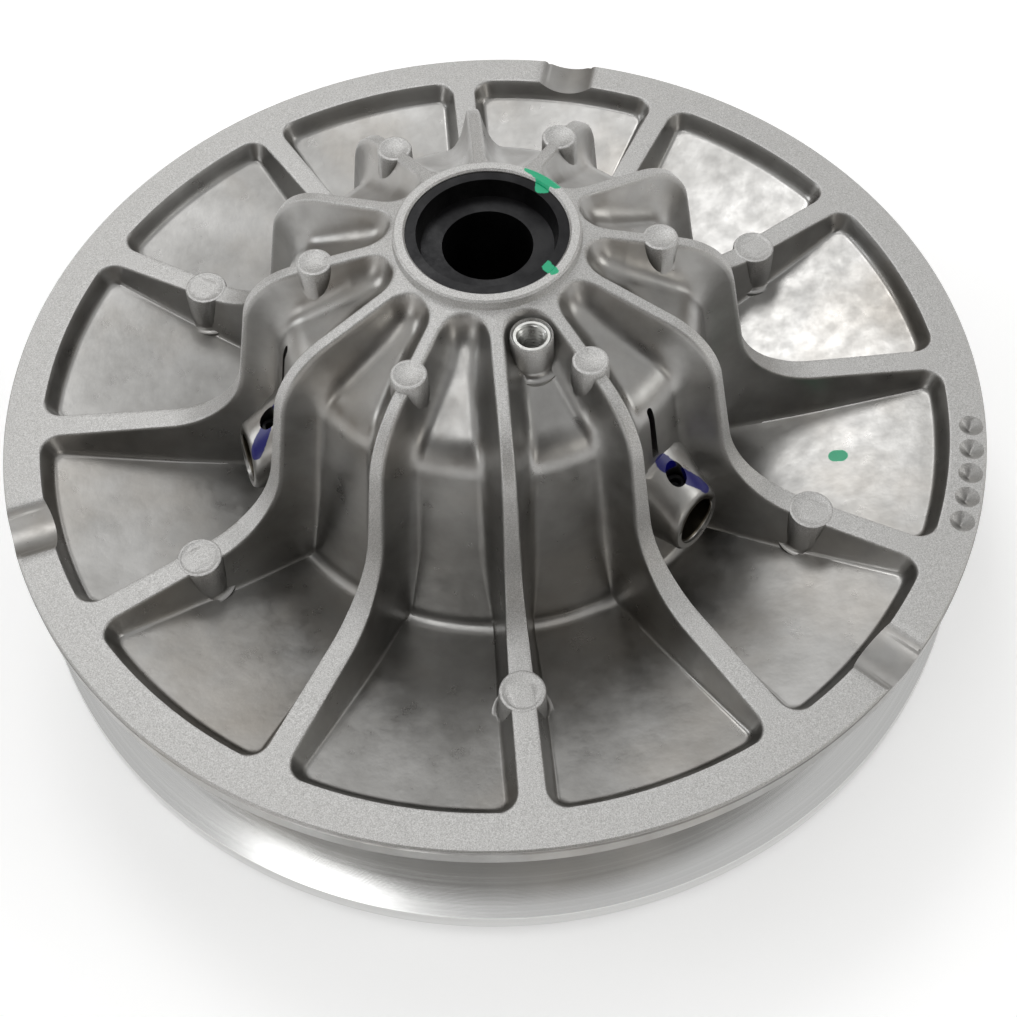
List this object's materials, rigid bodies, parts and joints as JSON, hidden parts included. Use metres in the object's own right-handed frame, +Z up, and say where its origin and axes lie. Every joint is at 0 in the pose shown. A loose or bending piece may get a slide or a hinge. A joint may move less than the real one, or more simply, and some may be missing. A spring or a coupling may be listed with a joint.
{
  "type": "cvt driven pulley",
  "caption": "Driven pulley of a belt transmission: ribbed domed sheave over a sliding sheave, joined by helix cam and rollers round a splined post.",
  "frame": {"origin": "on the pulley axis, in the plane of the inner sheave's back collar, on which the set stands", "axes": "+Z runs up along the pulley axis from the inner sheave to the outer sheave's hub; +X is the direction of one of the outer sheave's ribs"},
  "size_m": [0.29, 0.29, 0.132],
  "materials": {
    "cast_aluminium": "blast-cleaned pressure casting, satin in the pockets",
    "turned_aluminium": "fine-turned bright aluminium",
    "hard_coat_aluminium": "dark hard-anodised casting",
    "black_steel": "black oxide with an oil film",
    "zinc_steel": "zinc plated",
    "bright_steel": "ground and hardened",
    "spring_steel": "black powder-coated spring wire",
    "bronze": "PTFE-lined bronze",
    "polymer": "glass-filled bearing polymer",
    "seal_rubber": "nitrile rubber"
  },
  "bodies": {
    "inner_half": {"inner_sheave": "turned_aluminium", "helix_cam": "hard_coat_aluminium", "cam_screws": "black_steel", "cam_dowels": "bright_steel", "upper_bush": "bronze", "lower_bush": "bronze", "post_seal": "seal_rubber", "compression_spring": "spring_steel"},
    "seat_slider": {"slip_washer": "polymer"},
    "outer_half": {"outer_sheave": "cast_aluminium", "centre_post": "black_steel", "opener_insert": "zinc_steel", "spring_seat": "zinc_steel", "snap_ring": "black_steel", "stop_washer": "polymer", "roller_pin_1": "bright_steel", "roller_clip_1": "black_steel", "pin_screw_1": "black_steel", "roller_pin_2": "bright_steel", "roller_clip_2": "black_steel", "pin_screw_2": "black_steel", "roller_pin_3": "bright_steel", "roller_clip_3": "black_steel", "pin_screw_3": "black_steel"},
    "roller_unit_1": {"roller_1": "polymer", "roller_bush_1": "bronze"},
    "roller_unit_2": {"roller_2": "polymer", "roller_bush_2": "bronze"},
    "roller_unit_3": {"roller_3": "polymer", "roller_bush_3": "bronze"}
  },
  "joints": [
    {"name": "sheave_opening", "type": "slide", "parent": "inner_half", "child": "seat_slider", "axis": [0, 0, 1], "range_m": [0, 0.024], "stiffness_N_per_m": 10000, "springref_m": -0.03, "deforming": ["compression_spring"]},
    {"name": "helix_turn", "type": "hinge", "parent": "seat_slider", "child": "outer_half", "pos_m": [0, 0, 0.06], "axis": [0, 0, 1], "range_deg": [0, 29.3]},
    {"name": "roller_1_spin", "type": "hinge", "parent": "outer_half", "child": "roller_unit_1", "pos_m": [0.01216, 0.0454, 0.0655], "axis": [0.2588, 0.9659, 0], "range_deg": [-212, 0]},
    {"name": "roller_2_spin", "type": "hinge", "parent": "outer_half", "child": "roller_unit_2", "pos_m": [-0.0454, -0.01216, 0.0655], "axis": [-0.9659, -0.2588, 0], "range_deg": [-212, 0]},
    {"name": "roller_3_spin", "type": "hinge", "parent": "outer_half", "child": "roller_unit_3", "pos_m": [0.03323, -0.03323, 0.0655], "axis": [0.7071, -0.7071, 0], "range_deg": [-212, 0]}
  ],
  "couplings": [
    {"joint": "helix_turn", "follows": "sheave_opening", "rad_per_m": 21.277},
    {"joint": "roller_1_spin", "follows": "sheave_opening", "rad_per_m": -153.72},
    {"joint": "roller_2_spin", "follows": "sheave_opening", "rad_per_m": -153.72},
    {"joint": "roller_3_spin", "follows": "sheave_opening", "rad_per_m": -153.72}
  ]
}
